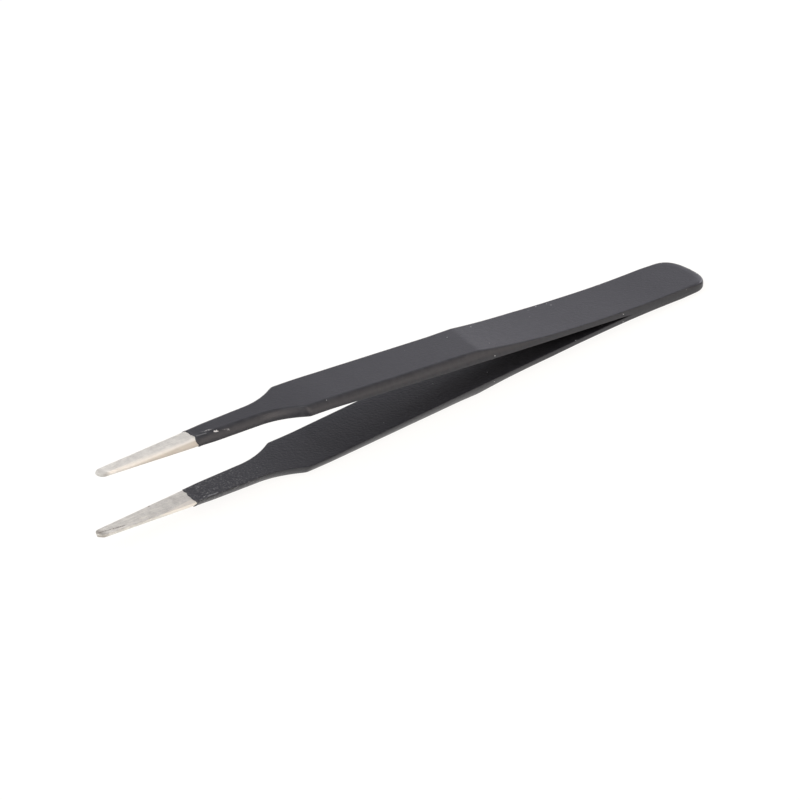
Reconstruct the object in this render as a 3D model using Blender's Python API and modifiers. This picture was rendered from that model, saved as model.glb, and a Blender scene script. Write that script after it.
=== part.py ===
"""Precision tweezers: flat rounded tips, black coated body and bare steel ends.

Two stainless steel blades are spot welded to each other at the butt, splayed apart by their
own spring, and coated up to the bare tips.  Units are metres, +Z is up.

The shape is drawn in the frame of the mid-plane between the two arms.  A station is the
distance from the butt towards the tips.  A height is the distance of a surface from the
mid-plane, the same for the upper and the lower arm.  The tweezers then lie on the flat outer
grip face of the lower arm, with the tips towards -X and the butt towards +X.
"""
import math

import bmesh
import bpy
from mathutils import Matrix, Vector

MM = 0.001

# Overall sizes of the coated tweezers.
LENGTH = 120.0 * MM
BODY_WIDTH = 10.0 * MM
HEEL_THICKNESS = 1.66 * MM

# The coat: a dipped film round the steel.  Two meshes can't share a face, so a thin bond gap
# parts the film from the steel.
COAT_FILM = 0.12 * MM
BOND_GAP = 0.03 * MM
COAT = COAT_FILM + BOND_GAP
WELD_GAP = 0.02 * MM

# Stations along the tweezers, from the butt.
BUTT_DEPTH = 3.8 * MM
WELD_END = 14.8 * MM
FLEX = 20.5 * MM
FLEX_GAP = 0.30 * MM
CREASE = 47.6 * MM
GRIP_END = 77.5 * MM
SHOULDER = 83.0 * MM
NECK_START = 91.0 * MM
COAT_END = 102.4 * MM

# Inner face of each blade: it leaves its twin at the weld and curves slightly apart, and
# bends back at the end of the grip so that the tips run nearly parallel.
SPLAY_SLOPE = 0.0565
SPLAY_CURVE = 0.145 / (1000.0 * MM)
BEND_LENGTH = 4.1 * MM
BEND_RISE = 0.22 * MM
NECK_SLOPE = 0.011

# Outer face of the coat: the spring is ground thin in one long hollow that ends at the
# crease, and the grip beyond the crease is flat.
SPRING_SLOPE = 0.0469
CREASE_HEIGHT = 3.69 * MM
GRIP_SLOPE = 0.0593

# Steel thickness beyond the grip.
NECK_THICKNESS = 1.16 * MM
TIP_THICKNESS = 0.56 * MM

# The butt's outline in plan is a superellipse: 2 would make it an ellipse.
BUTT_SQUARENESS = 2.7

# Steel widths in plan beyond the grip.
SHOULDER_RADIUS = 13.2 * MM
NECK_WIDTH = 4.85 * MM
COAT_END_WIDTH = 4.25 * MM
TIP_WIDTH = 2.10 * MM

# The sides lean in towards the outer face by these amounts, and are slightly crowned.
SPRING_LEAN = 0.12 * MM
GRIP_LEAN = 0.95 * MM
TIP_LEAN = 0.25 * MM
LEAN_START = 34.0 * MM
LEAN_FULL = 52.0 * MM
CROWN_SHARE = 0.30

# Fused weld nuggets at the interface of the two blades.
NUGGET_STATIONS = {"weld_nugget_rear": 5.6 * MM, "weld_nugget_front": 11.2 * MM}
NUGGET_DIAMETER = 3.2 * MM
NUGGET_THICKNESS = 0.50 * MM
NUGGET_CLEARANCE = 0.05 * MM

# The sock round the heel keeps at least this far from the mid-plane along its sides.
SOCK_SEAM = 0.2 * MM

# How finely the lofts are divided.
STATION_STEP = 2.5 * MM
FINE_STEP = 1.0 * MM
ARC_STEPS = 9
ARC_FIRST_ANGLE = math.radians(10.0)
NUGGET_SIDES = 32

# Edges that turn by more than this are shaded sharp.
SHARP_ANGLE = math.radians(25.0)
HINGE_MARK = 10.0 * MM

# Colour, roughness and metalness of the plain materials.
STEEL = (0.62, 0.60, 0.57), 0.35, 1.0
BLACK_COAT = (0.050, 0.050, 0.055), 0.55, 0.0

UP, DOWN = 1.0, -1.0


def mix(start, end, share):
    """Value between start and end, held at both ends."""
    return start + (end - start) * min(1.0, max(0.0, share))


def neck_fade(station):
    """1 at the end of the grip, fading to 0 along the bend into the neck."""
    return math.exp(-max(0.0, station - GRIP_END) / BEND_LENGTH)


def inner_height(station):
    """Height of the steel blade's inner face."""
    splayed = max(0.0, min(station, GRIP_END) - WELD_END)
    beyond = max(0.0, station - GRIP_END)
    height = WELD_GAP + SPLAY_SLOPE * splayed + SPLAY_CURVE * splayed ** 2
    return height + BEND_RISE * (1.0 - neck_fade(station)) + NECK_SLOPE * beyond


def grip_face_height(station):
    """Height of the coat's flat outer face between the crease and the neck."""
    return CREASE_HEIGHT + GRIP_SLOPE * (station - CREASE)


def steel_thickness(station):
    """Thickness of the steel beyond the grip: even along the neck, thinned to the tip."""
    if station > COAT_END:
        return mix(NECK_THICKNESS, TIP_THICKNESS, (station - COAT_END) / (LENGTH - COAT_END))
    at_bend = grip_face_height(GRIP_END) - COAT - inner_height(GRIP_END)
    return NECK_THICKNESS + (at_bend - NECK_THICKNESS) * neck_fade(station)


def outer_height(station):
    """Height of the steel blade's outer face."""
    if station > GRIP_END:
        return inner_height(station) + steel_thickness(station)
    if station > CREASE:
        return grip_face_height(station) - COAT
    along = max(0.0, station - WELD_END) / (CREASE - WELD_END)
    straight = SPRING_SLOPE * (CREASE - WELD_END)
    hollow = CREASE_HEIGHT - HEEL_THICKNESS / 2 - straight
    return HEEL_THICKNESS / 2 - COAT + straight * along + hollow * along ** 3


def half_width(station):
    """Half the steel blade's width, away from the rounded butt and tip."""
    body = BODY_WIDTH / 2 - COAT
    if station < SHOULDER:
        return body
    if station < NECK_START:
        return min(body, NECK_WIDTH / 2 + (NECK_START - station) ** 2 / (2 * SHOULDER_RADIUS))
    if station < COAT_END:
        along = (station - NECK_START) / (COAT_END - NECK_START)
        return mix(NECK_WIDTH, COAT_END_WIDTH, along) / 2
    return mix(COAT_END_WIDTH, TIP_WIDTH, (station - COAT_END) / (LENGTH - COAT_END)) / 2


def side_lean(station, half):
    """How far the side leans in from the inner edge to the outer edge."""
    lean = mix(SPRING_LEAN, GRIP_LEAN, (station - LEAN_START) / (LEAN_FULL - LEAN_START))
    if station > COAT_END:
        lean = mix(GRIP_LEAN, TIP_LEAN, (station - COAT_END) / (LENGTH - COAT_END))
    return min(lean, half / 2)


def stations(first, last):
    """Stations from first to last: even steps, closer along the shoulder's curve."""
    marks = {first, last}
    marks |= {mark for mark in (CREASE, GRIP_END, SHOULDER, COAT_END) if first < mark < last}
    here = first
    while here < last:
        marks.add(here)
        here += FINE_STEP if GRIP_END < here < NECK_START else STATION_STEP
    spaced = []
    for mark in sorted(marks):
        if spaced and mark - spaced[-1] < FINE_STEP / 4:
            continue
        spaced.append(mark)
    spaced[-1] = last
    return spaced


def butt_plan(last, grow):
    """(station, half width) pairs from the rounded butt to the station last."""
    pairs = []
    for step in range(ARC_STEPS):
        angle = mix(ARC_FIRST_ANGLE, math.pi / 2, step / ARC_STEPS)
        back = math.cos(angle) ** (2.0 / BUTT_SQUARENESS)
        out = math.sin(angle) ** (2.0 / BUTT_SQUARENESS)
        station = COAT - grow + BUTT_DEPTH * (1.0 - back)
        pairs.append((station, (half_width(station) + grow) * out))
    for station in stations(COAT + BUTT_DEPTH, last):
        pairs.append((station, half_width(station) + grow))
    return pairs


def sleeve_plan(first, last, grow):
    """(station, half width) pairs of the coated part of an arm."""
    return [(station, half_width(station) + grow) for station in stations(first, last)]


def tip_plan(first):
    """(station, half width) pairs of an arm's steel from first to the round tip."""
    radius = TIP_WIDTH / 2
    pairs = sleeve_plan(first, LENGTH - radius, 0.0)
    wide = pairs[-1][1]
    for step in range(1, ARC_STEPS + 1):
        angle = mix(math.pi / 2, ARC_FIRST_ANGLE, step / ARC_STEPS)
        pairs.append((LENGTH - radius * (1.0 - math.cos(angle)), wide * math.sin(angle)))
    return pairs


def blade_ring(station, half, side, grow):
    """Outline of one arm at a station: flat inner face, leaning crowned sides."""
    low = inner_height(station) - grow
    high = outer_height(station) + grow
    lean = side_lean(station, half)
    crown = half - CROWN_SHARE * lean
    right = [(half, low), (crown, (low + high) / 2), (half - lean, high)]
    outline = right + [(-across, height) for across, height in reversed(right)]
    return [Vector((-station, across, side * height)) for across, height in outline]


def heel_ring(station, half, grow):
    """Outline round the welded pair of blades at a station."""
    low = max(inner_height(station), SOCK_SEAM)
    high = outer_height(station) + grow
    lean = side_lean(station, half)
    right = [(half, low), (half - CROWN_SHARE * lean, (low + high) / 2), (half - lean, high)]
    top = right + [(-across, height) for across, height in reversed(right)]
    outline = top + [(across, -height) for across, height in reversed(top)]
    return [Vector((-station, across, height)) for across, height in outline]


def loft(name, rings, cap_first, cap_last):
    """Mesh object with quads between matching rings and flat caps where asked."""
    mesh = bmesh.new()
    rows = [[mesh.verts.new(point) for point in ring] for ring in rings]
    for row, following in zip(rows, rows[1:]):
        for i in range(len(row)):
            j = (i + 1) % len(row)
            mesh.faces.new((row[i], row[j], following[j], following[i]))
    if cap_first:
        mesh.faces.new(rows[0])
    if cap_last:
        mesh.faces.new(rows[-1])
    bmesh.ops.recalc_face_normals(mesh, faces=mesh.faces)
    return mesh_object(name, mesh)


def mesh_object(name, mesh):
    """Object made from a bmesh, shaded smooth except at its edges."""
    data = bpy.data.meshes.new(name)
    mesh.to_mesh(data)
    mesh.free()
    data.shade_smooth()
    data.set_sharp_from_angle(angle=SHARP_ANGLE)
    return bpy.data.objects.new(name, data)


def add_film(body):
    """Thicken an open surface outwards by the coat's film."""
    film = body.modifiers.new("film", "SOLIDIFY")
    film.thickness = COAT_FILM
    film.offset = 1.0
    film.use_even_offset = True


def heel_blade(name, side):
    """Steel of one blade from the butt to the flexure."""
    plan = butt_plan(FLEX - FLEX_GAP / 2, 0.0)
    rings = [blade_ring(station, half, side, 0.0) for station, half in plan]
    return loft(name, rings, True, True)


def arm_blade(name, side):
    """Steel of one blade from the flexure to its rounded bare tip."""
    plan = tip_plan(FLEX + FLEX_GAP / 2)
    rings = [blade_ring(station, half, side, 0.0) for station, half in plan]
    return loft(name, rings, True, True)


def arm_coat(name, side):
    """Film sleeve round one arm, open at the flexure and at the bare tip."""
    plan = sleeve_plan(FLEX + FLEX_GAP / 2, COAT_END, BOND_GAP)
    rings = [blade_ring(station, half, side, BOND_GAP) for station, half in plan]
    sleeve = loft(name, rings, False, False)
    add_film(sleeve)
    return sleeve


def heel_coat(name):
    """Film sock round the welded butt, open where the arms leave it."""
    plan = butt_plan(FLEX - FLEX_GAP / 2, BOND_GAP)
    rings = [heel_ring(station, half, BOND_GAP) for station, half in plan]
    sock = loft(name, rings, True, False)
    add_film(sock)
    return sock


def disc(name, station, diameter, thickness):
    """Round disc centred on the mid-plane."""
    mesh = bmesh.new()
    bmesh.ops.create_cone(
        mesh, cap_ends=True, segments=NUGGET_SIDES, radius1=diameter / 2, radius2=diameter / 2,
        depth=thickness, matrix=Matrix.Translation((-station, 0.0, 0.0)))
    return mesh_object(name, mesh)


def steel_material(name):
    return principled(name, *STEEL)


def coat_material(name):
    return principled(name, *BLACK_COAT)


def principled(name, colour, roughness, metallic):
    """Material with one Principled BSDF."""
    material = bpy.data.materials.new(name)
    material.use_nodes = True
    shader = material.node_tree.nodes["Principled BSDF"]
    shader.inputs["Base Color"].default_value = (*colour, 1.0)
    shader.inputs["Roughness"].default_value = roughness
    shader.inputs["Metallic"].default_value = metallic
    return material


def clear_scene():
    for leftover in list(bpy.data.objects):
        bpy.data.objects.remove(leftover, do_unlink=True)


def new_collection(name):
    collection = bpy.data.collections.new(name)
    bpy.context.scene.collection.children.link(collection)
    return collection


def empty(collection, name, parent, location):
    """Empty that carries other objects, at a place in its parent's frame."""
    axes = bpy.data.objects.new(name, None)
    axes.empty_display_size = HINGE_MARK
    axes.location = location
    axes.parent = parent
    collection.objects.link(axes)
    return axes


def flex_axis(side):
    """Point on an arm's bending axis: the middle of the blade at the flexure."""
    middle = (inner_height(FLEX) + outer_height(FLEX)) / 2
    return Vector((-FLEX, 0.0, side * middle))


def place(collection, body, parent, pivot, material):
    """Link an object under its parent, with its origin on the pivot."""
    body.data.transform(Matrix.Translation(-pivot))
    body.parent = parent
    body.data.materials.append(material)
    collection.objects.link(body)


def cut_pocket(blades, cutters, frame, name, station):
    """Sink half of a weld nugget's pocket into the inner face of each blade."""
    room = 2 * NUGGET_CLEARANCE
    cutter = disc(name, station, NUGGET_DIAMETER + room, NUGGET_THICKNESS + room)
    cutter.parent = frame
    cutter.hide_render = True
    cutter.display_type = "WIRE"
    cutters.objects.link(cutter)
    for blade in blades:
        pocket = blade.modifiers.new(name, "BOOLEAN")
        pocket.operation = "DIFFERENCE"
        pocket.solver = "EXACT"
        pocket.object = cutter


def lay_down(frame):
    """Turn the mid-plane so that the lower grip face lies level at z = 0.

    The origin is then the middle of the footprint, between the butt and the lower tip.
    """
    tilt = math.atan(GRIP_SLOPE)
    turn = Matrix.Rotation(tilt, 3, "Y")
    lowest = turn @ Vector((-CREASE, 0.0, -CREASE_HEIGHT))
    butt = turn @ Vector((0.0, 0.0, HEEL_THICKNESS / 2))
    tip = turn @ Vector((-LENGTH, 0.0, -outer_height(LENGTH)))
    frame.rotation_euler = (0.0, tilt, 0.0)
    frame.location = (-(butt.x + tip.x) / 2, 0.0, -lowest.z)


def build():
    clear_scene()
    parts = new_collection("precision_tweezers")
    cutters = new_collection("cutters")
    frame = empty(parts, "mid_plane", None, (0.0, 0.0, 0.0))
    lay_down(frame)
    no_pivot = Vector((0.0, 0.0, 0.0))

    heel_blades = []
    for name, side in (("upper_blade_heel", UP), ("lower_blade_heel", DOWN)):
        blade = heel_blade(name, side)
        place(parts, blade, frame, no_pivot, steel_material(name))
        heel_blades.append(blade)
    place(parts, heel_coat("heel_coat"), frame, no_pivot, coat_material("heel_coat"))

    for name, station in NUGGET_STATIONS.items():
        nugget = disc(name, station, NUGGET_DIAMETER, NUGGET_THICKNESS)
        place(parts, nugget, frame, no_pivot, steel_material(name))
        cut_pocket(heel_blades, cutters, frame, name + "_pocket", station)

    for arm, side in (("upper", UP), ("lower", DOWN)):
        pivot = flex_axis(side)
        hinge = empty(parts, arm + "_arm_flexure", frame, pivot)
        blade, coat = arm + "_blade", arm + "_coat"
        place(parts, arm_blade(blade, side), hinge, pivot, steel_material(blade))
        place(parts, arm_coat(coat, side), hinge, pivot, coat_material(coat))


build()
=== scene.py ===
"""Looks of the precision tweezers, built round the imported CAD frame.  Metres, +Z up.

The shape follows the same rules as the CAD.  It is drawn in the frame of the mid-plane
between the two arms: a station is the distance from the butt towards the tips, across is the
distance to the side (the side facing the camera is negative), and a height is the distance
from the mid-plane, the same for the upper and the lower arm.
"""

import math

import bmesh
import bpy
import numpy as np
from mathutils import Matrix, Vector, noise


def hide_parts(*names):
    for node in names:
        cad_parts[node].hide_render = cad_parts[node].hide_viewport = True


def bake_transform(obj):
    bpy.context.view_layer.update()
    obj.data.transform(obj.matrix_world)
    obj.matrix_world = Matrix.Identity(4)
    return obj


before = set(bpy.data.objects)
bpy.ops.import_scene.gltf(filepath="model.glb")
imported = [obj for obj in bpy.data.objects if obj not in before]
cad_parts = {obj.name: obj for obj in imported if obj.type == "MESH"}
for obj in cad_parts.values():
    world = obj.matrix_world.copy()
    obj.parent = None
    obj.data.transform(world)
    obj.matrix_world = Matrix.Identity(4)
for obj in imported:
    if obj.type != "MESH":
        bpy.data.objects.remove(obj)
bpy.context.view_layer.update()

MM = 0.001

# Sizes of the CAD model.
LENGTH = 120.0 * MM
BODY_WIDTH = 10.0 * MM
HEEL_THICKNESS = 1.66 * MM
COAT = 0.15 * MM
WELD_GAP = 0.02 * MM
BUTT_DEPTH = 3.8 * MM
BUTT_SQUARENESS = 2.7
WELD_END = 14.8 * MM
CREASE = 47.6 * MM
GRIP_END = 77.5 * MM
NECK_START = 91.0 * MM
COAT_END = 102.4 * MM
SPLAY_SLOPE = 0.0565
SPLAY_CURVE = 0.145 / (1000.0 * MM)
BEND_LENGTH = 4.1 * MM
BEND_RISE = 0.22 * MM
NECK_SLOPE = 0.011
SPRING_SLOPE = 0.0469
CREASE_HEIGHT = 3.69 * MM
GRIP_SLOPE = 0.0593
NECK_THICKNESS = 1.16 * MM
TIP_THICKNESS = 0.56 * MM
SHOULDER_RADIUS = 13.2 * MM
NECK_WIDTH = 4.85 * MM
COAT_END_WIDTH = 4.25 * MM
TIP_WIDTH = 2.10 * MM
SPRING_LEAN = 0.12 * MM
GRIP_LEAN = 0.95 * MM
TIP_LEAN = 0.25 * MM
LEAN_START = 34.0 * MM
LEAN_FULL = 52.0 * MM
CROWN_POWER = 1.74
NUGGET_STATIONS = (5.6 * MM, 11.2 * MM)
NUGGET_POCKET = 1.7 * MM
NUGGET_WALL = 2.1 * MM
NUGGET_SINK = 0.27 * MM

# The grinding of the spring runs slightly askew, so the crease crosses the arm at a slant, and
# the spring leaves the heel softly over a share of its length.
CREASE_SKEW = 0.14
CREASE_ROUND = 0.05 * MM
SPRING_EASE = 0.18
SHOULDER_ROUND = 0.20 * MM

# The film: where it lies on the steel, and how its inner edge rounds.
FILM_GAP = 0.01 * MM
SEAM_GAP = 0.002 * MM
INNER_ROUND = 0.14 * MM
FILM_INNER_ROUND = 0.03 * MM

# The film's front edge: it thins out, ends in a slight bead and a rounded rim, and runs ragged.
# The lower arm's edge also runs askew.
FRONT_FADE = 4.0 * MM
FRONT_SHARE = 0.45
BEAD = 0.20
BEAD_RUN = 0.35 * MM
RIM = 0.12 * MM
RAGGED = 0.24 * MM
RAGGED_RUN = 1.4 * MM
RAGGED_SIZE = 0.9 * MM
RAGGED_NOISE = 0.6, 2.1, 4
LOWER_SKEW = -0.20

# The outer ridges of the steel are sharp along the body, softer where the film ends, and
# rounded right over at the butt.  A surface that lies off the steel is rounder by a share.
BODY_RIDGE = 0.11 * MM
FRONT_RIDGE = 0.34 * MM
TIP_RIDGE = 0.15 * MM
SOFT_START = 90.0 * MM
BUTT_DROP = 0.28 * MM
BUTT_REACH = 1.15 * MM
BUTT_ROUND_START = 1.5 * MM
BUTT_ROUND_END = 7.0 * MM
RIDGE_FOLLOW = 0.75

# The inner edges of the bare tips are rounder and rounder towards the nose.
TIP_BEVEL = 0.24 * MM
BEVEL_START = 102.6 * MM

# The two arms part between these stations.
PART_START = 17.0 * MM
PART_END = 19.5 * MM

# Unevenness of the dipped film and of the hand-finished tips: height and length of a wave.
FILM_WAVE = 0.009 * MM, 4.0 * MM
FILM_PEEL = 0.0022 * MM, 0.55 * MM
STEEL_WAVE = 0.014 * MM, 2.2 * MM

# Wear, and painted highlights.  Its points are (station, across, height) in millimetres, and so
# are its distances.
# The upper film has a chip down to the metal and a scuff across the ridge.
CHIP = (98.85, -1.50, 5.69), (98.25, -1.76, 5.65)
CHIP_SIZE = 0.12
CHIP_CORE = 0.6 * CHIP_SIZE
CHIP_RAGGED = 0.9
CHIP_DENT = 0.07 * MM
SCUFF = (100.6, -0.55, 5.95), (96.4, -1.90, 5.30)
SCUFF_EDGE = 0.26, 0.06
# Painted highlights: a pale line along a ridge of each film near its front edge.
FILM_HIGHLIGHT_LINES = {
    "upper": ((101.9, -1.15, 5.93), (100.3, -1.35, 5.90)),
    "lower": ((100.4, -1.95, 4.45), (98.7, -2.05, 4.43)),
}
FILM_HIGHLIGHT_EDGE = 0.22, 0.02
FILM_HIGHLIGHT_SHARE = 0.8
WORN_NECK = 84.0, 96.0

# Painted shade along a step on the lower tip, and a stain speck on it.
STEP_SHADE_LINE = (119.6, 0.10, 4.82), (115.4, -0.62, 4.77)
STEP_SHADE_EDGE = 0.17, 0.04
STAIN_SPECK = (108.9, 1.55, 4.70)
SPECK_EDGE = 0.22, 0.08

# The ground tips, and the light painted on them.  A line is how far across it lies at station 0,
# and its slope.  The upper tip has a painted highlight along its ridge, with its face painted
# paler towards the ridge, and painted shade on the side beyond it; the lower tip has a painted
# highlight on its bevel.
RIDGE_LINE = -3.356, 0.0213
RIDGE_MIDDLE = 0.2
# Painted highlight along the upper tip's ridge, and its face painted paler towards the ridge.
RIDGE_HIGHLIGHT_EDGE = 0.42, 0.05
RIDGE_HIGHLIGHT_SHARE = 0.7
FACE_HIGHLIGHT_FADE = -2.2, 0.0
FACE_HIGHLIGHT_SHARE = 0.20
# Painted shade on the upper tip's side beyond the ridge.
SIDE_SHADE_EDGE = 0.25, 0.55
SIDE_SHADE_SHARE = 0.8
# Painted highlight on the lower tip's bevel.
BEVEL_LINE = 12.61, -0.130
BEVEL_HIGHLIGHT_EDGE = 0.0, 0.25
BEVEL_HIGHLIGHT_SHARE = 0.8
UPPER_NOSE = 118.0, 119.4
UPPER_NOSE_SHARE = 0.9
LOWER_NOSE = 118.2, 119.8
LOWER_NOSE_SHARE = 0.8

# How finely the surfaces are divided, how near doubled points lie, and from which angle on an
# edge stays sharp.
SKIN_STEP = 0.25 * MM
NECK_STEP = 0.12 * MM
HIDDEN_STEP = 2.0 * MM
STEEL_STEP = 0.15 * MM
ARC_STEPS = 26
FACE_STEPS = 18
SIDE_STEPS = 10
ROUND_STEPS = 5
RIM_STEPS = 4
MERGE = 0.0001 * MM
COAT_SHARP = math.radians(40.0)
STEEL_SHARP = math.radians(35.0)

UP, DOWN = 1.0, -1.0

# Each arm's side, the skew of its film's front edge, and the seed of its unevenness.
ARMS = {"upper": (UP, 0.0, 3.0), "lower": (DOWN, LOWER_SKEW, 11.0)}


# Profiles, as functions of the station.

def mix(start, end, share):
    """Value between start and end, held at both ends."""
    return start + (end - start) * np.clip(share, 0.0, 1.0)


def smooth(share):
    """0 to 1 with a soft start and stop."""
    held = np.clip(share, 0.0, 1.0)
    return held * held * (3.0 - 2.0 * held)


def soft_min(one, other, width):
    """The lower of two values, rounded over where they differ by less than width."""
    near = np.clip(1.0 - np.abs(one - other) / width, 0.0, None)
    return np.minimum(one, other) - near * near * width / 4.0


def neck_fade(station):
    return np.exp(-np.clip(station - GRIP_END, 0.0, None) / BEND_LENGTH)


def inner_height(station):
    """Height of the steel's inner face."""
    splayed = np.clip(np.minimum(station, GRIP_END) - WELD_END, 0.0, None)
    beyond = np.clip(station - GRIP_END, 0.0, None)
    height = WELD_GAP + SPLAY_SLOPE * splayed + SPLAY_CURVE * splayed ** 2
    return height + BEND_RISE * (1.0 - neck_fade(station)) + NECK_SLOPE * beyond


def grip_face_height(station):
    return CREASE_HEIGHT + GRIP_SLOPE * (station - CREASE)


def steel_thickness(station):
    """Thickness of the steel beyond the grip."""
    at_bend = grip_face_height(GRIP_END) - COAT - inner_height(GRIP_END)
    neck = NECK_THICKNESS + (at_bend - NECK_THICKNESS) * neck_fade(station)
    tip = mix(NECK_THICKNESS, TIP_THICKNESS, (station - COAT_END) / (LENGTH - COAT_END))
    return np.where(station > COAT_END, tip, neck)


def coat_height(station, across):
    """Height of the coat's outer face."""
    straight = SPRING_SLOPE * (CREASE - WELD_END)
    hollow = CREASE_HEIGHT - HEEL_THICKNESS / 2 - straight
    askew = station + CREASE_SKEW * across * smooth(station / CREASE)
    along = -soft_min(0.0, (WELD_END - askew) / (CREASE - WELD_END), SPRING_EASE)
    spring = HEEL_THICKNESS / 2 + straight * along + hollow * along ** 3
    grip = soft_min(spring, grip_face_height(station), CREASE_ROUND)
    return np.where(station > GRIP_END, inner_height(station) + steel_thickness(station) + COAT,
                    grip)


def half_width(station):
    """Half the steel's width, away from the rounded butt and tip."""
    body = BODY_WIDTH / 2 - COAT
    left = np.clip(NECK_START - station, 0.0, None)
    curve = NECK_WIDTH / 2 + left ** 2 / (2 * SHOULDER_RADIUS)
    along = (station - NECK_START) / (COAT_END - NECK_START)
    neck = mix(NECK_WIDTH, COAT_END_WIDTH, along) / 2
    tip = mix(COAT_END_WIDTH, TIP_WIDTH, (station - COAT_END) / (LENGTH - COAT_END)) / 2
    half = np.where(station < NECK_START, soft_min(body, curve, SHOULDER_ROUND), neck)
    return np.where(station < COAT_END, half, tip)


def side_lean(station, half):
    """How far the side leans in from the inner edge to the outer edge."""
    lean = mix(SPRING_LEAN, GRIP_LEAN, (station - LEAN_START) / (LEAN_FULL - LEAN_START))
    tip = mix(GRIP_LEAN, TIP_LEAN, (station - COAT_END) / (LENGTH - COAT_END))
    return np.minimum(np.where(station > COAT_END, tip, lean), half / 2)


def ridge_rounds(station, grow):
    """How far the rounded outer ridge drops and reaches in, on a surface grow off the steel."""
    front = smooth((station - SOFT_START) / (COAT_END - SOFT_START))
    bare = np.clip((station - COAT_END) / (LENGTH - COAT_END), 0.0, 1.0)
    ridge = mix(mix(BODY_RIDGE, FRONT_RIDGE, front), TIP_RIDGE, bare)
    butt = 1.0 - smooth((station - BUTT_ROUND_START) / (BUTT_ROUND_END - BUTT_ROUND_START))
    follow = RIDGE_FOLLOW * grow
    return mix(ridge, BUTT_DROP, butt) + follow, mix(ridge, BUTT_REACH, butt) + follow


# Spokes: each section of an arm runs from a foot on the centre line to the outline.  A spoke
# is one row of (foot station, edge station, edge half width, outward station, outward across).

def straight_spokes(stations, grow):
    ones = np.ones_like(stations)
    half = half_width(stations) + grow
    return np.stack([stations, stations, half, 0 * ones, ones], axis=1)


def butt_spokes(grow, steps):
    """Spokes that fan round the rounded butt, from its apex to the straight side."""
    share = np.linspace(0.0, 1.0, steps, endpoint=False) ** (BUTT_SQUARENESS / 2)
    rest = np.linspace(1.0, 0.0, steps, endpoint=False) ** (BUTT_SQUARENESS / 2)
    angle = math.pi / 2 * share / (share + rest)
    half = BODY_WIDTH / 2 - COAT + grow
    back = np.cos(angle) ** (2.0 / BUTT_SQUARENESS)
    out = np.sin(angle) ** (2.0 / BUTT_SQUARENESS)
    edge = COAT - grow + BUTT_DEPTH * (1.0 - back)
    outward = np.stack([-back ** (BUTT_SQUARENESS - 1.0) / BUTT_DEPTH,
                        out ** (BUTT_SQUARENESS - 1.0) / half], axis=1)
    outward /= np.linalg.norm(outward, axis=1, keepdims=True)
    foot = np.full_like(angle, COAT - grow + BUTT_DEPTH)
    return np.column_stack([foot, edge, half * out, outward])


def tip_spokes(steps):
    """Spokes that fan round the bare tip, from its straight side to its apex."""
    angle = np.linspace(math.pi / 2, 0.0, steps + 1)[1:]
    radius = TIP_WIDTH / 2
    foot = np.full_like(angle, LENGTH - radius)
    edge = LENGTH - radius * (1.0 - np.cos(angle))
    wide = half_width(np.array(LENGTH - radius))
    return np.column_stack([foot, edge, wide * np.sin(angle), np.cos(angle), np.sin(angle)])


def curve_through(start, corner, end, steps):
    """Rounded corner: points of a quadratic curve, one row for each section."""
    t = np.linspace(0.0, 1.0, steps)[None, :]
    parts = (((1 - t) ** 2, start), (2 * t * (1 - t), corner), (t ** 2, end))
    return sum(weight * value[:, None] for weight, value in parts)


def crown(lean, share):
    """How far a crowned side leans in at a share of its height."""
    return lean * share ** CROWN_POWER


def crown_slope(lean, share):
    return lean * CROWN_POWER * share ** (CROWN_POWER - 1.0)


def side_profile(low, high, lean, lower_round, upper_round, upper_reach):
    """Inset and height up one crowned side, both edges rounded, one row for each section."""
    tall = high - low
    first, last = lower_round / tall, 1.0 - upper_round / tall
    first_inset, last_inset = crown(lean, first), crown(lean, last)
    foot_inset = first_inset - first * crown_slope(lean, first)
    top_inset = last_inset + (1.0 - last) * crown_slope(lean, last)
    lower = curve_through(lower_round, foot_inset, first_inset, ROUND_STEPS)
    lower_height = curve_through(low, low, low + first * tall, ROUND_STEPS)
    share = np.linspace(0.0, 1.0, SIDE_STEPS)[None, 1:-1]
    share = first[:, None] + (last - first)[:, None] * share
    middle = crown(lean[:, None], share)
    middle_height = low[:, None] + tall[:, None] * share
    upper = curve_through(last_inset, top_inset, lean + upper_reach, ROUND_STEPS)
    upper_height = curve_through(low + last * tall, high, high, ROUND_STEPS)
    inset = np.concatenate([lower, middle, upper], axis=1)
    return inset, np.concatenate([lower_height, middle_height, upper_height], axis=1)


def half_sections(spokes, hand, grow, lower_round, upper_round, upper_reach):
    """Points from the middle of the inner face round one side to the middle of the outer face.

    hand is 1 or -1 for the two sides.  The result has (station, across, height) per point.
    """
    foot, edge, half, out_station, out_across = spokes.T
    lean = side_lean(edge, half)
    low = np.maximum(inner_height(edge) - grow, SEAM_GAP)
    reach = lean + upper_reach
    high = coat_height(edge - out_station * reach, hand * (half - out_across * reach))
    high = high - COAT + grow
    inset, height = side_profile(low, high, lean, lower_round, upper_round, upper_reach)
    station = edge[:, None] - out_station[:, None] * inset
    across = half[:, None] - out_across[:, None] * inset
    share = np.linspace(0.0, 1.0, FACE_STEPS)[None, :]

    def face(corner):
        stations = foot[:, None] + (station[:, corner] - foot)[:, None] * share
        return stations, across[:, corner][:, None] * share

    under, under_across = face(0)
    over, over_across = face(-1)
    under_height = np.maximum(inner_height(under) - grow, SEAM_GAP)
    over_height = coat_height(over, hand * over_across) - COAT + grow
    parts = (
        (under[:, :-1], under_across[:, :-1], under_height[:, :-1]),
        (station, across, height),
        (over[:, -2::-1], over_across[:, -2::-1], over_height[:, -2::-1]),
    )
    joined = [np.concatenate(columns, axis=1) for columns in zip(*parts)]
    joined[1] = hand * joined[1]
    return np.stack(joined, axis=2)


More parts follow.
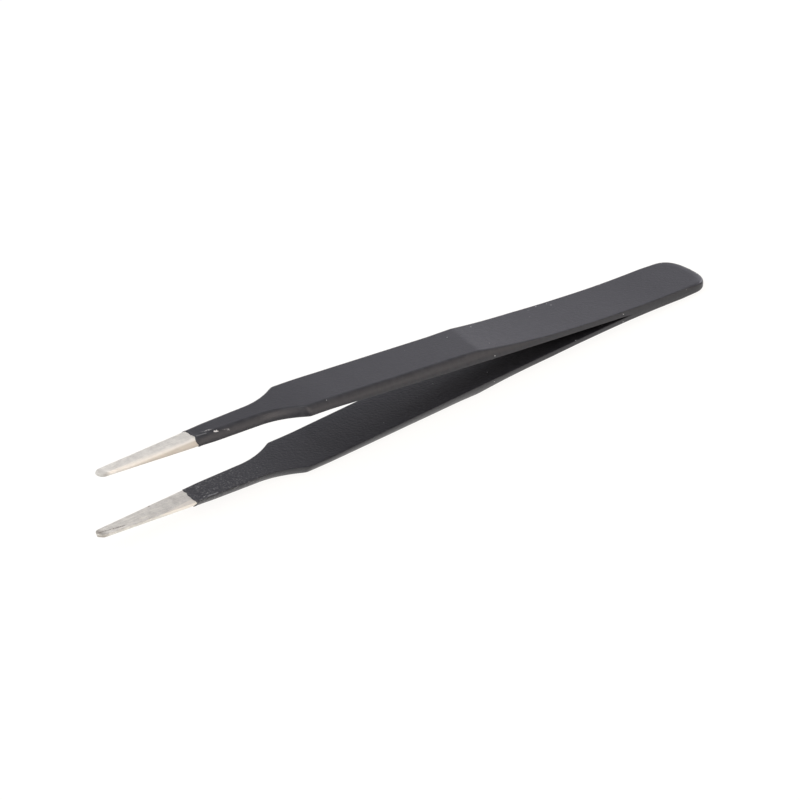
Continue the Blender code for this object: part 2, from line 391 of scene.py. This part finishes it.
def sections(spokes, grow, lower_round):
    """Closed sections of an arm: an array of rings, points and (station, across, height)."""
    rounds = (lower_round, *ridge_rounds(spokes[:, 1], grow))
    near = half_sections(spokes, -1.0, grow, *rounds)
    far = half_sections(spokes, 1.0, grow, *rounds)
    return np.concatenate([near, far[:, -2:0:-1]], axis=1)


# Meshes.

def mid_plane():
    """Matrix that lays the mid-plane frame down so that the lower grip face rests at z = 0."""
    tilt = math.atan(GRIP_SLOPE)
    turn = Matrix.Rotation(tilt, 3, "Y")
    lowest = turn @ Vector((-CREASE, 0.0, -CREASE_HEIGHT))
    butt = turn @ Vector((0.0, 0.0, HEEL_THICKNESS / 2))
    tip_height = inner_height(LENGTH) + TIP_THICKNESS
    tip = turn @ Vector((-LENGTH, 0.0, -tip_height))
    return Matrix.Translation((-(butt.x + tip.x) / 2, 0.0, -lowest.z)) @ turn.to_4x4()


MID_PLANE = mid_plane()


def loft(name, rings, side, outside):
    """Mesh object from rings of (station, across, height) points, doubled points merged.

    outside is a share for each ring: 1 where the ring lies on a surface that shows.
    """
    count, around = rings.shape[:2]
    points = rings.reshape(-1, 3) * np.array([-1.0, 1.0, side])
    first = np.arange(count - 1)[:, None] * around + np.arange(around)[None, :]
    after = np.arange(count - 1)[:, None] * around + (np.arange(around) + 1)[None, :] % around
    quads = np.stack([first, after, after + around, first + around], axis=2).reshape(-1, 4)
    data = bpy.data.meshes.new(name)
    data.from_pydata(points.tolist(), [], quads.tolist())
    store(data, "outside", "FLOAT", np.repeat(outside, around))
    mesh = bmesh.new()
    mesh.from_mesh(data)
    bmesh.ops.remove_doubles(mesh, verts=mesh.verts, dist=MERGE)
    bmesh.ops.recalc_face_normals(mesh, faces=mesh.faces)
    mesh.to_mesh(data)
    mesh.free()
    piece = bpy.data.objects.new(name, data)
    bpy.context.scene.collection.objects.link(piece)
    return piece


def steps_between(first, last, step):
    """Even stations from first to last."""
    return np.linspace(first, last, max(2, round(abs(last - first) / step) + 1))


def parting(station):
    """0 in the welded heel, 1 where the two arms have parted."""
    return smooth((station - PART_START) / (PART_END - PART_START))


def ragged_edge(points, skew, seed):
    """How far the film's front edge runs on or falls short at points round a section."""
    edge = [noise.fractal(Vector((across, height, seed)) / RAGGED_SIZE, *RAGGED_NOISE)
            for across, height in points]
    return RAGGED * np.array(edge) + skew * points[:, 0]


def film_rings(skew, seed):
    """Rings of one arm's film: out along its outer face, over the rim, back on the steel.

    The second result is each ring's share on the outside.
    """
    coarse = steps_between(COAT + BUTT_DEPTH, SOFT_START, SKIN_STEP)
    stations = np.concatenate([coarse, steps_between(SOFT_START, COAT_END - RIM, NECK_STEP)[1:]])
    angle = np.linspace(0.0, math.pi / 2, RIM_STEPS + 1)[1:]
    rim = COAT_END - RIM * (1.0 - np.sin(angle))
    full = np.ones(ARC_STEPS + len(stations))
    share = np.concatenate([full, np.cos(angle)])
    marks = np.concatenate([stations, rim])

    def spokes(grow):
        return np.concatenate([butt_spokes(grow, ARC_STEPS), straight_spokes(marks, grow)])

    outer = spokes(COAT)
    inner = spokes(FILM_GAP)
    outside = sections(outer, COAT, INNER_ROUND * parting(outer[:, 1]))
    inside = sections(inner, FILM_GAP, FILM_INNER_ROUND * parting(inner[:, 1]))
    ragged = ragged_edge(outside[-1, :, 1:], skew, seed)
    left = np.clip(COAT_END - outside[..., 0], 0.0, None)
    bead = mix(FRONT_SHARE, 1.0, smooth(left / FRONT_FADE))
    bead = bead + BEAD * np.exp(-(left / BEAD_RUN) ** 2)
    rings = inside + (outside - inside) * share[:, None, None] * bead[..., None]
    rings[..., 0] = outside[..., 0] + ragged[None, :] * smooth(1.0 - left / RAGGED_RUN)

    backs = steps_between(COAT_END, COAT + BUTT_DEPTH, HIDDEN_STEP)
    back = np.concatenate([straight_spokes(backs, FILM_GAP),
                           butt_spokes(FILM_GAP, ARC_STEPS)[::-1]])
    hidden = sections(back, FILM_GAP, FILM_INNER_ROUND * parting(back[:, 1]))
    left = np.clip(COAT_END - hidden[..., 0], 0.0, None)
    hidden[..., 0] += ragged[None, :] * smooth(1.0 - left / RAGGED_RUN)
    outside_share = np.concatenate([share, np.zeros(len(hidden) - 1)])
    return np.concatenate([rings, hidden[1:]]), outside_share


def steel_rings():
    """Rings of one whole blade, from the butt to the rounded tip."""
    welded = steps_between(COAT + BUTT_DEPTH, WELD_END, SKIN_STEP)
    hidden = steps_between(WELD_END, COAT_END - RAGGED_RUN, HIDDEN_STEP)
    bare = steps_between(COAT_END - RAGGED_RUN, LENGTH - TIP_WIDTH / 2, STEEL_STEP)
    stations = np.concatenate([welded, hidden[1:], bare[1:]])
    spokes = np.concatenate([butt_spokes(0.0, ARC_STEPS), straight_spokes(stations, 0.0),
                             tip_spokes(ARC_STEPS // 2)])
    bevel = smooth((spokes[:, 1] - BEVEL_START) / (LENGTH - BEVEL_START))
    rings = sections(spokes, 0.0, mix(FILM_INNER_ROUND * parting(spokes[:, 1]), TIP_BEVEL, bevel))
    return sink_pockets(rings)


def sink_pockets(rings):
    """Hollow the inner face round the weld nuggets."""
    inner = rings[..., 2] < WELD_GAP + MERGE
    for station in NUGGET_STATIONS:
        away = np.hypot(rings[..., 0] - station, rings[..., 1])
        sink = 1.0 - smooth((away - NUGGET_POCKET) / (NUGGET_WALL - NUGGET_POCKET))
        rings[..., 2] += np.where(inner, NUGGET_SINK * sink, 0.0)
    return rings


def lay_points(piece, side):
    """(station, across, height) of each point of an arm."""
    flat = np.zeros(len(piece.data.vertices) * 3, np.float32)
    piece.data.vertices.foreach_get("co", flat)
    return flat.reshape(-1, 3).astype(float) * np.array([-1.0, 1.0, side])


def store(data, name, kind, values):
    """Keep a value at each point of a mesh."""
    layer = data.attributes.new(name, kind, "POINT")
    field = "vector" if kind == "FLOAT_VECTOR" else "value"
    layer.data.foreach_set(field, np.asarray(values, np.float32).ravel())


def stored(data, name):
    """Values kept at each point of a mesh."""
    values = np.zeros(len(data.vertices), np.float32)
    data.attributes[name].data.foreach_get("value", values)
    return values


def finish_mesh(piece, material, sharp):
    """Give the piece its material and shading, and lay it in the mid-plane's frame."""
    piece.data.materials.append(material)
    piece.data.shade_smooth()
    piece.data.set_sharp_from_angle(angle=sharp)
    piece.data.transform(MID_PLANE)


def push(piece, amounts):
    """Move each point along its normal."""
    count = len(piece.data.vertices)
    normals, places = np.zeros(count * 3, np.float32), np.zeros(count * 3, np.float32)
    piece.data.vertices.foreach_get("normal", normals)
    piece.data.vertices.foreach_get("co", places)
    moved = places.reshape(-1, 3) + normals.reshape(-1, 3) * np.asarray(amounts)[:, None]
    piece.data.vertices.foreach_set("co", moved.astype(np.float32).ravel())
    piece.data.update()


def wavy(lay, wave, seed):
    """Height of soft unevenness at each point."""
    height, size = wave
    shift = Vector((seed, 0.0, 0.0))
    return height * np.array([noise.noise(Vector(point) / size + shift) for point in lay])


def coat_skin(arm, side, skew, seed, material):
    """Film of one arm, from the butt to its ragged front edge."""
    rings, outside = film_rings(skew, seed)
    piece = loft(arm + "_coat_skin", rings, side, outside)
    lay = lay_points(piece, side)
    store(piece.data, "lay", "FLOAT_VECTOR", lay)
    uneven = wavy(lay, FILM_WAVE, seed) + wavy(lay, FILM_PEEL, seed)
    if side == UP:
        away = np.linalg.norm(lay / MM - np.mean(CHIP, axis=0), axis=1)
        uneven = uneven - CHIP_DENT * (1.0 - smooth(away / (2 * CHIP_SIZE)))
    push(piece, uneven * stored(piece.data, "outside"))
    finish_mesh(piece, material, COAT_SHARP)
    return piece


def blade(arm, side, seed, material):
    """Steel of one arm, bare beyond the film."""
    rings = steel_rings()
    piece = loft(arm + "_blade_steel", rings, side, np.ones(len(rings)))
    lay = lay_points(piece, side)
    store(piece.data, "lay", "FLOAT_VECTOR", lay)
    bare = smooth((lay[:, 0] - COAT_END - RAGGED) / RAGGED_RUN)
    push(piece, wavy(lay, STEEL_WAVE, seed) * bare)
    finish_mesh(piece, material, STEEL_SHARP)
    return piece


# Materials.

def grey(value, warm=0.0):
    """Grey tinted warm, or cool where warm is negative."""
    return (value * (1 + warm), value, value * (1 - warm), 1.0)


COAT_DARK = (0.018, 0.0175, 0.021, 1.0)
COAT_LIGHT = (0.026, 0.0255, 0.029, 1.0)
COAT_WORN = grey(0.15)
# Colour of the painted highlight along the films' ridges.
COAT_HIGHLIGHT = grey(0.20)
COAT_SCUFFED = grey(0.42, 0.04)
CHIP_METAL = grey(0.90, 0.04)
DUST = grey(0.85)
STEEL_DARK = (0.66, 0.63, 0.58, 1.0)
STEEL_LIGHT = (0.80, 0.77, 0.71, 1.0)
STEEL_SCRATCH = (0.90, 0.86, 0.78, 1.0)
STEEL_PIT = (0.46, 0.42, 0.36, 1.0)
# Painted highlight on the upper tip's ridge.
STEEL_RIDGE_HIGHLIGHT = (0.84, 0.80, 0.73, 1.0)
# Painted shade on the upper tip's side beyond the ridge.
STEEL_SIDE_SHADE = (0.50, 0.45, 0.38, 1.0)
# Painted highlight on the lower tip's bevel.
STEEL_BEVEL_HIGHLIGHT = (0.93, 0.87, 0.78, 1.0)
# Colour of the painted shade along the step, and of the stain speck.
STEEL_STAIN_AND_SHADE = (0.24, 0.20, 0.17, 1.0)
UPPER_NOSE_STEEL = (0.42, 0.40, 0.37, 1.0)
LOWER_NOSE_STEEL = (0.34, 0.31, 0.27, 1.0)
WELD_DARK = grey(0.30, 0.03)
WELD_LIGHT = grey(0.46, -0.03)

# Metallic share, and roughness from where a noise is low to where it is high.
CHIP_METALLIC = 0.6
STEEL_METALLIC = 0.72
UPPER_NOSE_METALLIC = 0.25
UPPER_NOSE_ROUGHER = 0.30
COAT_ROUGHNESS = 0.35, 0.43
STEEL_ROUGHNESS = 0.46, 0.60
WELD_ROUGHNESS = 0.45, 0.70

# Noises: waves in a millimetre (in a metre for the weld), detail and roughness.
MOTTLE = 1.1, 5.0, 0.62
PEEL = 2.3, 2.0, 0.5
FINE_PEEL = 6.5, 3.0, 0.65
BROKEN = 3.0, 5.0, 0.75
SCRATCHES = 1.0, 5.0, 0.75
PATCHES = 0.9, 4.0, 0.65
GRAIN = 5.0, 3.0, 0.6
LUMPS = 1.6 / MM, 4.0, 0.65
SCRATCH_STRETCH = 0.30, 4.5, 4.5

# Where a noise counts as low and as high.
SPAN = 0.3, 0.7
WORN_SPAN = 0.52, 0.64
SCUFF_SPAN = 0.47, 0.58
SCRATCH_SPAN = 0.50, 0.70
RIDGE_HIGHLIGHT_SPAN = 0.30, 0.60
PIT_SPAN = 0.56, 0.72
STAIN_AND_SHADE_SPAN = 0.35, 0.55
LUMP_SPAN = 0.35, 0.65

# How much the pits darken the steel, and how much of the painted ridge highlight shows between
# the scratches.
PIT_SHARE = 0.5
RIDGE_HIGHLIGHT_SCRATCHED = 0.4

# Heights of the bumps.
PEEL_HEIGHT = {"upper": 0.020 * MM, "lower": 0.050 * MM}
FINE_HEIGHT = 0.010 * MM
GRAIN_HEIGHT = 0.014 * MM
SCRATCH_HEIGHT = 0.030 * MM
LUMP_HEIGHT = 0.05 * MM

# Dust: cells in a millimetre, the soft edge of a dot in cells, and the share of clean cells.
DUST_CELLS = 0.50
DUST_EDGE = 0.045, 0.020
DUST_CLEAN = 0.15


class Nodes:
    """Short calls for a material's node tree."""

    def __init__(self, name):
        self.material = bpy.data.materials.new(name)
        self.material.use_nodes = True
        self.tree = self.material.node_tree
        self.shader = self.tree.nodes["Principled BSDF"]

    def finish(self, inputs):
        """Feed the shader and return the material."""
        for name, value in inputs.items():
            self.feed(self.shader.inputs[name], value)
        return self.material

    def add(self, kind, inputs=None, **settings):
        node = self.tree.nodes.new(kind)
        for setting, value in settings.items():
            setattr(node, setting, value)
        for name, value in (inputs or {}).items():
            self.feed(node.inputs[name], value)
        return node

    def feed(self, socket, value):
        if isinstance(value, bpy.types.NodeSocket):
            self.tree.links.new(value, socket)
        else:
            socket.default_value = value

    def place(self):
        """Place on the object in millimetres, fixed to the piece as it moves."""
        lay = self.add("ShaderNodeAttribute", attribute_name="lay")
        return self.scaled(lay.outputs["Vector"], 1.0 / MM)

    def scaled(self, vector, factor):
        node = self.add("ShaderNodeVectorMath", {0: vector, "Scale": factor}, operation="SCALE")
        return node.outputs["Vector"]

    def noise(self, place, scale, detail, roughness):
        inputs = {"Vector": place, "Scale": scale, "Detail": detail, "Roughness": roughness}
        return self.add("ShaderNodeTexNoise", inputs).outputs["Fac"]

    def math(self, operation, one, other=0.0):
        return self.add("ShaderNodeMath", {0: one, 1: other}, operation=operation).outputs[0]

    def ramp(self, value, low, high, start=0.0, end=1.0):
        """Smooth step of value from low to high."""
        inputs = {"Value": value, "From Min": low, "From Max": high, "To Min": start,
                  "To Max": end}
        node = self.add("ShaderNodeMapRange", inputs, interpolation_type="SMOOTHSTEP")
        return node.outputs["Result"]

    def blend(self, share, one, other):
        """Colour mixed from one towards other; sockets 6, 7 and 2 are the node's colours."""
        node = self.add("ShaderNodeMix", {"Factor": share}, data_type="RGBA")
        self.feed(node.inputs[6], one)
        self.feed(node.inputs[7], other)
        return node.outputs[2]

    def part(self, place, axis):
        return self.add("ShaderNodeSeparateXYZ", {"Vector": place}).outputs[axis]

    def vector(self, operation, one, other):
        return self.add("ShaderNodeVectorMath", {0: one, 1: other}, operation=operation)

    def away_from(self, place, point):
        """Distance from a point, in millimetres."""
        return self.vector("DISTANCE", place, point).outputs["Value"]

    def away_from_line(self, place, start, end):
        """Distance from the straight line between two points, in millimetres."""
        along = Vector(end) - Vector(start)
        offset = self.vector("SUBTRACT", place, start).outputs["Vector"]
        dot = self.vector("DOT_PRODUCT", offset, along / along.length_squared).outputs["Value"]
        share = self.add("ShaderNodeClamp", {"Value": dot}).outputs["Result"]
        return self.away_from(offset, self.scaled(along, share))

    def nearer_than(self, place, start, slope):
        """How much nearer than a line along the arm a point lies, in millimetres across.

        start is how far across the line lies at station 0.
        """
        line = self.math("ADD", self.math("MULTIPLY", self.part(place, "X"), slope), start)
        return self.math("SUBTRACT", line, self.part(place, "Y"))

    def specks(self, place):
        """Sparse dust: a dot in the middle of a few cells."""
        cells = self.add("ShaderNodeTexVoronoi", {"Vector": place, "Scale": DUST_CELLS})
        dot = self.ramp(cells.outputs["Distance"], *DUST_EDGE)
        pick = self.add("ShaderNodeSeparateColor", {"Color": cells.outputs["Color"]})
        dusty = self.math("GREATER_THAN", pick.outputs["Red"], DUST_CLEAN)
        return self.math("MULTIPLY", dot, dusty)

    def bump(self, height, distance, below=None):
        """Normal of a bumpy surface, on top of the bumps below."""
        inputs = {"Height": height, "Distance": distance, "Strength": 1.0}
        if below is not None:
            inputs["Normal"] = below
        return self.add("ShaderNodeBump", inputs).outputs["Normal"]


def scuffed(nodes, place, broken, colour):
    """Colour with the upper neck's scuff, in broken flecks."""
    scuff = nodes.ramp(nodes.away_from_line(place, *SCUFF), *SCUFF_EDGE)
    scuff = nodes.math("MULTIPLY", scuff, nodes.ramp(broken, *SCUFF_SPAN))
    return nodes.blend(scuff, colour, COAT_SCUFFED)


def chipped(nodes, place, broken):
    """Share of the upper neck's chip, ragged at its edge."""
    ragged = nodes.math("MULTIPLY", nodes.math("SUBTRACT", broken, 0.5), CHIP_RAGGED)
    away = nodes.math("ADD", nodes.away_from_line(place, *CHIP), ragged)
    return nodes.ramp(away, CHIP_SIZE, CHIP_CORE)


def coat_material(arm):
    """Satin black dipped film: fine orange peel, slight mottle, scuffs, stray dust and a painted
    highlight along a ridge near the front edge.
    """
    nodes = Nodes(arm + "_coat_film")
    place = nodes.place()
    mottle = nodes.noise(place, *MOTTLE)
    broken = nodes.noise(place, *BROKEN)
    colour = nodes.blend(nodes.ramp(mottle, *SPAN), COAT_DARK, COAT_LIGHT)
    if arm == "lower":
        neck = nodes.ramp(nodes.part(place, "X"), *WORN_NECK)
        worn = nodes.math("MULTIPLY", neck, nodes.ramp(broken, *WORN_SPAN))
        colour = nodes.blend(worn, colour, COAT_WORN)
    colour = nodes.blend(nodes.specks(place), colour, DUST)
    # Painted highlight: a pale line along a ridge near the film's front edge.
    film_highlight = nodes.ramp(nodes.away_from_line(place, *FILM_HIGHLIGHT_LINES[arm]), *FILM_HIGHLIGHT_EDGE, 0.0, FILM_HIGHLIGHT_SHARE)
    colour = nodes.blend(film_highlight, colour, COAT_HIGHLIGHT)
    metallic = 0.0
    if arm == "upper":
        chip = chipped(nodes, place, broken)
        colour = nodes.blend(chip, scuffed(nodes, place, broken, colour), CHIP_METAL)
        metallic = nodes.math("MULTIPLY", chip, CHIP_METALLIC)
    peel = nodes.bump(nodes.noise(place, *PEEL), PEEL_HEIGHT[arm])
    return nodes.finish({
        "Base Color": colour,
        "Metallic": metallic,
        "Roughness": nodes.ramp(mottle, *SPAN, *COAT_ROUGHNESS),
        "Normal": nodes.bump(nodes.noise(place, *FINE_PEEL), FINE_HEIGHT, below=peel),
    })


def ridge_lit_and_shaded(nodes, place, scratches, colour):
    """Colour of the upper tip with painted light: a face painted paler towards the ridge, a
    painted highlight on the ridge, and painted shade on the side beyond it.
    """
    beyond = nodes.nearer_than(place, *RIDGE_LINE)
    off = nodes.math("ABSOLUTE", nodes.math("SUBTRACT", beyond, RIDGE_MIDDLE))
    # Painted highlight along the ridge, broken up by the scratches.
    ridge = nodes.math("MULTIPLY", nodes.ramp(off, *RIDGE_HIGHLIGHT_EDGE, 0.0, RIDGE_HIGHLIGHT_SHARE),
                       nodes.ramp(scratches, *RIDGE_HIGHLIGHT_SPAN, RIDGE_HIGHLIGHT_SCRATCHED, 1.0))
    colour = nodes.blend(nodes.ramp(beyond, *FACE_HIGHLIGHT_FADE, 0.0, FACE_HIGHLIGHT_SHARE), colour, STEEL_RIDGE_HIGHLIGHT)
    # Painted shade on the side beyond the ridge.
    colour = nodes.blend(nodes.ramp(beyond, *SIDE_SHADE_EDGE, 0.0, SIDE_SHADE_SHARE), colour, STEEL_SIDE_SHADE)
    return nodes.blend(ridge, colour, STEEL_RIDGE_HIGHLIGHT)


def bevel_highlighted(nodes, place, colour):
    """Colour of the lower tip with a painted highlight on its bevel."""
    beyond = nodes.nearer_than(place, *BEVEL_LINE)
    # Painted highlight on the bevel.
    return nodes.blend(nodes.ramp(beyond, *BEVEL_HIGHLIGHT_EDGE, 0.0, BEVEL_HIGHLIGHT_SHARE), colour, STEEL_BEVEL_HIGHLIGHT)


def stained_and_shaded(nodes, place, grain, colour):
    """Colour with the lower tip's painted shade along a step, and its stain speck."""
    # Painted shade along a step, and a stain speck.
    stain_and_shade = nodes.ramp(nodes.away_from_line(place, *STEP_SHADE_LINE), *STEP_SHADE_EDGE)
    speck = nodes.ramp(nodes.away_from(place, STAIN_SPECK), *SPECK_EDGE)
    stain_and_shade = nodes.math("MULTIPLY", nodes.math("MAXIMUM", stain_and_shade, speck),
                       nodes.ramp(grain, *STAIN_AND_SHADE_SPAN))
    return nodes.blend(stain_and_shade, colour, STEEL_STAIN_AND_SHADE)


def steel_material(arm):
    """Stainless steel ground lengthwise to a warm frosted satin, duller at the nose, with painted
    highlights and painted shade on the tips.
    """
    nodes = Nodes(arm + "_ground_steel")
    place = nodes.place()
    station = nodes.part(place, "X")
    stretched = nodes.add("ShaderNodeMapping", {"Vector": place, "Scale": SCRATCH_STRETCH})
    scratches = nodes.noise(stretched.outputs["Vector"], *SCRATCHES)
    grain = nodes.noise(place, *GRAIN)
    patches = nodes.ramp(nodes.noise(place, *PATCHES), *SPAN)
    colour = nodes.blend(patches, STEEL_DARK, STEEL_LIGHT)
    colour = nodes.blend(nodes.ramp(scratches, *SCRATCH_SPAN), colour, STEEL_SCRATCH)
    colour = nodes.blend(nodes.ramp(grain, *PIT_SPAN, 0.0, PIT_SHARE), colour, STEEL_PIT)
    metallic = STEEL_METALLIC
    roughness = nodes.ramp(scratches, *SPAN, *STEEL_ROUGHNESS)
    if arm == "upper":
        colour = ridge_lit_and_shaded(nodes, place, scratches, colour)
        nose = nodes.ramp(station, *UPPER_NOSE, 0.0, UPPER_NOSE_SHARE)
        colour = nodes.blend(nose, colour, UPPER_NOSE_STEEL)
        metallic = nodes.ramp(station, *UPPER_NOSE, STEEL_METALLIC, UPPER_NOSE_METALLIC)
        rougher = nodes.ramp(station, *UPPER_NOSE, 0.0, UPPER_NOSE_ROUGHER)
        roughness = nodes.math("ADD", roughness, rougher)
    else:
        colour = bevel_highlighted(nodes, place, colour)
        nose = nodes.ramp(station, *LOWER_NOSE, 0.0, LOWER_NOSE_SHARE)
        colour = stained_and_shaded(nodes, place, grain, nodes.blend(nose, colour, LOWER_NOSE_STEEL))
    pitted = nodes.bump(grain, GRAIN_HEIGHT)
    return nodes.finish({
        "Base Color": colour,
        "Metallic": metallic,
        "Roughness": roughness,
        "Normal": nodes.bump(scratches, SCRATCH_HEIGHT, below=pitted),
    })


def weld_material():
    """Dull fused weld metal, coarse and slightly blued."""
    nodes = Nodes("fused_weld")
    place = nodes.add("ShaderNodeTexCoord").outputs["Object"]
    lumps = nodes.noise(place, *LUMPS)
    return nodes.finish({
        "Base Color": nodes.blend(nodes.ramp(lumps, *LUMP_SPAN), WELD_DARK, WELD_LIGHT),
        "Metallic": 1.0,
        "Roughness": nodes.ramp(lumps, *SPAN, *WELD_ROUGHNESS),
        "Normal": nodes.bump(lumps, LUMP_HEIGHT),
    })


# The room.

TABLE_SIZE = 6.0
TABLE_TINT = (1.0, 0.985, 0.965, 1.0)
TABLE_GLOW = 0.95
TABLE_GREY = 0.05
TABLE_ROUGHNESS = 0.9
SKY_GLOW = 0.14
STUDIO_RADIUS = 1.5
REAR_TINT = (1.0, 0.98, 1.09)

# Softboxes: azimuth from +X and elevation in degrees, side in metres, power in watts, and tint.
# The large pale ones light the tips, and the dim rear ones are mirrored in the film.
SOFTBOXES = {
    "key": (160.0, 46.0, 1.90, 27.0, (0.97, 1.0, 1.06)),
    "left": (175.0, 30.0, 1.50, 13.0, (0.98, 1.0, 1.0)),
    "front": (291.0, 38.0, 0.85, 6.3, (1.09, 0.98, 0.92)),
    "front_low": (315.0, 14.0, 0.50, 1.7, (1.10, 0.98, 0.92)),
    "overhead": (0.0, 88.0, 0.80, 5.4, (1.0, 1.0, 1.02)),
    "rear_low": (30.0, 9.0, 0.45, 0.43, REAR_TINT),
    "rear": (33.0, 22.0, 0.45, 0.92, REAR_TINT),
    "rear_left_low": (50.0, 12.0, 0.45, 0.19, REAR_TINT),
    "rear_left": (52.0, 26.0, 0.45, 0.20, REAR_TINT),
    "rear_far_left": (70.0, 20.0, 0.50, 0.35, REAR_TINT),
    "rear_right": (12.0, 18.0, 0.50, 4.4, REAR_TINT),
}


def floor():
    """Pale glowing table."""
    bpy.ops.mesh.primitive_plane_add(size=TABLE_SIZE)
    table = bpy.context.object
    table.name = "table_top"
    table.data.materials.append(Nodes("pale_table").finish({
        "Base Color": grey(TABLE_GREY),
        "Roughness": TABLE_ROUGHNESS,
        "Emission Color": TABLE_TINT,
        "Emission Strength": TABLE_GLOW,
    }))


def sky():
    """Dim even light from all round."""
    world = bpy.data.worlds.new("dim_room")
    world.use_nodes = True
    background = world.node_tree.nodes["Background"]
    background.inputs["Color"].default_value = grey(1.0)
    background.inputs["Strength"].default_value = SKY_GLOW
    bpy.context.scene.world = world


def softbox(name, azimuth, elevation, size, power, tint):
    """Square soft light that faces the tweezers from far off."""
    turn, rise = math.radians(azimuth), math.radians(elevation)
    towards = Vector((math.cos(turn) * math.cos(rise), math.sin(turn) * math.cos(rise),
                      math.sin(rise)))
    lamp = bpy.data.lights.new(name, "AREA")
    lamp.size = size
    lamp.energy = power
    lamp.color = tint
    light = bpy.data.objects.new(name, lamp)
    light.location = towards * STUDIO_RADIUS
    light.rotation_euler = (-towards).to_track_quat("-Z", "Y").to_euler()
    bpy.context.scene.collection.objects.link(light)


# The camera: the point that it aims at and its angles, in the mid-plane's frame.
AIM_STATION = 60.77 * MM
AIM_HEIGHT = -2.38 * MM
CAMERA_TURN = math.radians(41.615)
CAMERA_RISE = math.radians(27.409)
CAMERA_ROLL = math.radians(0.743)
CAMERA_DISTANCE = 1010.2 * MM
CLIP_START = 50.0 * MM
CLIP_END = 20000.0 * MM
LENS_MM = 298.6
SENSOR_MM = 36.0


def camera():
    """Camera that sees the tweezers from above their near side."""
    turn, rise = CAMERA_TURN, CAMERA_RISE
    back = Vector((-math.sin(turn) * math.cos(rise), -math.cos(turn) * math.cos(rise),
                   math.sin(rise)))
    right = Vector((math.cos(turn), -math.sin(turn), 0.0))
    up = back.cross(right)
    rolled = math.cos(CAMERA_ROLL) * right + math.sin(CAMERA_ROLL) * up
    axes = Matrix((rolled, back.cross(rolled), back)).transposed().to_4x4()
    aim = Vector((-AIM_STATION, 0.0, AIM_HEIGHT))
    eye = bpy.data.objects.new("camera", bpy.data.cameras.new("camera"))
    eye.data.lens = LENS_MM
    eye.data.sensor_width = SENSOR_MM
    eye.data.clip_start = CLIP_START
    eye.data.clip_end = CLIP_END
    eye.matrix_world = MID_PLANE @ Matrix.Translation(aim + back * CAMERA_DISTANCE) @ axes
    bpy.context.scene.collection.objects.link(eye)
    bpy.context.scene.camera = eye


def build():
    """All the pieces, and the room round them."""
    for arm, (side, skew, seed) in ARMS.items():
        skin = coat_skin(arm, side, skew, seed, coat_material(arm))
        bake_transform(skin)
        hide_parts(arm + "_coat", "heel_coat")
        bare = blade(arm, side, seed, steel_material(arm))
        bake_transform(bare)
        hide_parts(arm + "_blade", arm + "_blade_heel")
    weld = weld_material()
    for nugget in ("weld_nugget_rear", "weld_nugget_front"):
        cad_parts[nugget].data.materials.clear()
        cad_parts[nugget].data.materials.append(weld)
    floor()
    sky()
    for name, settings in SOFTBOXES.items():
        softbox(name, *settings)
    camera()
    bpy.context.scene.view_settings.view_transform = "Standard"


build()
